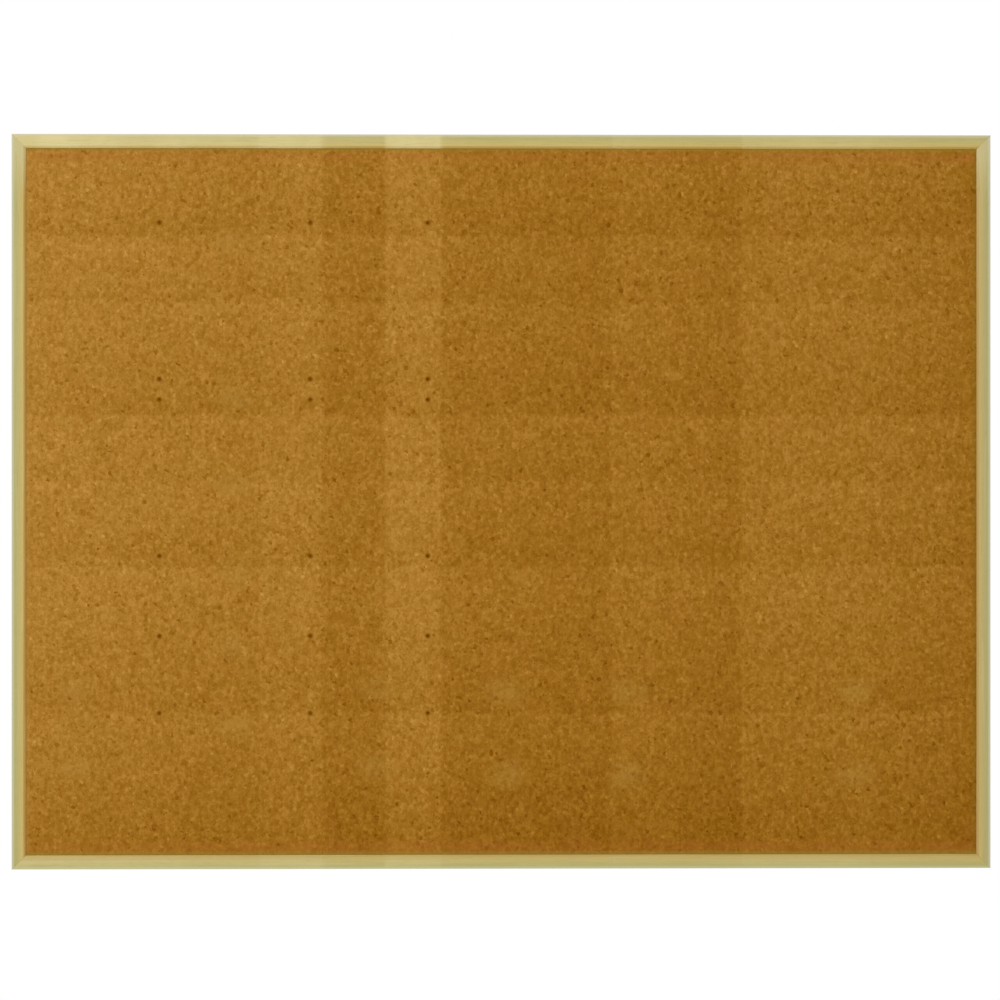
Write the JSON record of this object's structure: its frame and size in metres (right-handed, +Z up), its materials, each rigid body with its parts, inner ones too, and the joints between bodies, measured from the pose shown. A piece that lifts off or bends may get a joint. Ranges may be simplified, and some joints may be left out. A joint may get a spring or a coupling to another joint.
{
  "type": "cork notice board",
  "caption": "Wall-hung cork notice board: mitred pale wood frame, cork face on a soft core, hardboard back, and hinged D-ring hangers.",
  "frame": {"origin": "on the wall that the board hangs on, behind the middle of the board", "axes": "+Z up, +X to the right as seen from the front, +Y into the wall, so the cork faces -Y"},
  "size_m": [1.2, 0.025, 0.9],
  "materials": {
    "frame_wood": "satin",
    "cork": "matte",
    "softboard": "matte",
    "hardboard": "matte",
    "fastener_steel": "satin",
    "hanger_steel": "satin",
    "bumper_rubber": "matte"
  },
  "bodies": {
    "board": {"frame_top_rail": "frame_wood", "frame_right_stile": "frame_wood", "frame_bottom_rail": "frame_wood", "frame_left_stile": "frame_wood", "cork_sheet": "cork", "core_board": "softboard", "back_panel": "hardboard", "v_nail_top_right_outer": "fastener_steel", "v_nail_top_right_inner": "fastener_steel", "v_nail_bottom_right_outer": "fastener_steel", "v_nail_bottom_right_inner": "fastener_steel", "v_nail_bottom_left_outer": "fastener_steel", "v_nail_bottom_left_inner": "fastener_steel", "v_nail_top_left_outer": "fastener_steel", "v_nail_top_left_inner": "fastener_steel", "framers_point_top_1": "fastener_steel", "framers_point_top_2": "fastener_steel", "framers_point_top_3": "fastener_steel", "framers_point_top_4": "fastener_steel", "framers_point_right_1": "fastener_steel", "framers_point_right_2": "fastener_steel", "framers_point_right_3": "fastener_steel", "framers_point_bottom_1": "fastener_steel", "framers_point_bottom_2": "fastener_steel", "framers_point_bottom_3": "fastener_steel", "framers_point_bottom_4": "fastener_steel", "framers_point_left_1": "fastener_steel", "framers_point_left_2": "fastener_steel", "framers_point_left_3": "fastener_steel", "hanger_strap_left": "hanger_steel", "hanger_strap_right": "hanger_steel", "hanger_screw_left_1": "hanger_steel", "hanger_screw_left_2": "hanger_steel", "hanger_screw_right_1": "hanger_steel", "hanger_screw_right_2": "hanger_steel", "bumper_top_left": "bumper_rubber", "bumper_top_right": "bumper_rubber", "bumper_bottom_left": "bumper_rubber", "bumper_bottom_right": "bumper_rubber"},
    "left_ring": {"hanger_ring_left": "hanger_steel"},
    "right_ring": {"hanger_ring_right": "hanger_steel"}
  },
  "joints": [
    {"name": "left_ring_swing", "type": "hinge", "parent": "board", "child": "left_ring", "pos_m": [-0.593, -0.003, 0.35], "axis": [-1, 0, 0], "range_deg": [0, 179]},
    {"name": "right_ring_swing", "type": "hinge", "parent": "board", "child": "right_ring", "pos_m": [0.593, -0.003, 0.35], "axis": [-1, 0, 0], "range_deg": [0, 179]}
  ]
}
